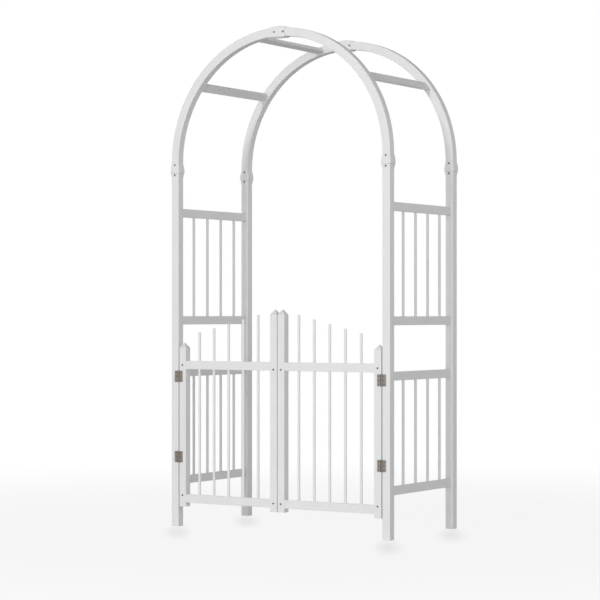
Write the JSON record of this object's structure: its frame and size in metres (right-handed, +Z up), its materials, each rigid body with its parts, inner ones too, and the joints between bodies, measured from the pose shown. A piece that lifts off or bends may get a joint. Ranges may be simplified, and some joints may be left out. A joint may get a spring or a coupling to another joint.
{
  "type": "garden arch with gate",
  "caption": "White garden arch of square tube with railed picket sides and roof rails, and a low centre-opening picket gate on butt hinges.",
  "frame": {"origin": "on the ground, midway between the four posts", "axes": "+Z up, -Y out of the gate, +X to the right of someone who faces the gate"},
  "size_m": [1.154, 0.611, 2.2229],
  "materials": {
    "frame_tube": "satin white vinyl tube",
    "gate_tube": "satin white vinyl tube",
    "stile_cap": "satin white moulded vinyl",
    "flat_rail": "satin white vinyl profile",
    "picket_rod": "satin white vinyl rod",
    "hinge_steel": "zinc plated, dulled",
    "screw_steel": "dark plated"
  },
  "bodies": {
    "root": {"post_front_left": "frame_tube", "post_front_right": "frame_tube", "post_back_left": "frame_tube", "post_back_right": "frame_tube", "arch_front_left": "frame_tube", "arch_front_right": "frame_tube", "arch_back_left": "frame_tube", "arch_back_right": "frame_tube", "cross_rail_left": "flat_rail", "cross_rail_crown": "flat_rail", "cross_rail_right": "flat_rail", "left_rail_bottom": "flat_rail", "left_rail_lower": "flat_rail", "left_rail_upper": "flat_rail", "left_rail_top": "flat_rail", "right_rail_bottom": "flat_rail", "right_rail_lower": "flat_rail", "right_rail_upper": "flat_rail", "right_rail_top": "flat_rail", "left_pickets_lower": "picket_rod", "left_pickets_upper": "picket_rod", "right_pickets_lower": "picket_rod", "right_pickets_upper": "picket_rod", "arch_foot_screws": "screw_steel", "arch_crown_screws": "screw_steel", "hinge_left_low_post_leaf": "hinge_steel", "hinge_left_high_post_leaf": "hinge_steel", "hinge_right_low_post_leaf": "hinge_steel", "hinge_right_high_post_leaf": "hinge_steel", "hinge_left_low_pin": "hinge_steel", "hinge_left_high_pin": "hinge_steel", "hinge_right_low_pin": "hinge_steel", "hinge_right_high_pin": "hinge_steel", "hinge_left_post_screws": "screw_steel", "hinge_right_post_screws": "screw_steel"},
    "gate_left": {"gate_left_hinge_stile": "gate_tube", "gate_left_meeting_stile": "gate_tube", "gate_left_hinge_cap": "stile_cap", "gate_left_meeting_cap": "stile_cap", "gate_left_top_rail": "flat_rail", "gate_left_bottom_rail": "flat_rail", "gate_left_pickets": "picket_rod", "gate_left_screws": "screw_steel", "hinge_left_gate_screws": "screw_steel", "hinge_left_low_gate_leaf": "hinge_steel", "hinge_left_high_gate_leaf": "hinge_steel"},
    "gate_right": {"gate_right_hinge_stile": "gate_tube", "gate_right_meeting_stile": "gate_tube", "gate_right_hinge_cap": "stile_cap", "gate_right_meeting_cap": "stile_cap", "gate_right_top_rail": "flat_rail", "gate_right_bottom_rail": "flat_rail", "gate_right_pickets": "picket_rod", "gate_right_screws": "screw_steel", "hinge_right_gate_screws": "screw_steel", "hinge_right_low_gate_leaf": "hinge_steel", "hinge_right_high_gate_leaf": "hinge_steel"}
  },
  "joints": [
    {"name": "gate_left_swing", "type": "hinge", "parent": "root", "child": "gate_left", "pos_m": [-0.5317, -0.303, 0.4], "axis": [0, 0, 1], "range_deg": [-170, 0]},
    {"name": "gate_right_swing", "type": "hinge", "parent": "root", "child": "gate_right", "pos_m": [0.5317, -0.303, 0.4], "axis": [0, 0, 1], "range_deg": [0, 170]}
  ]
}
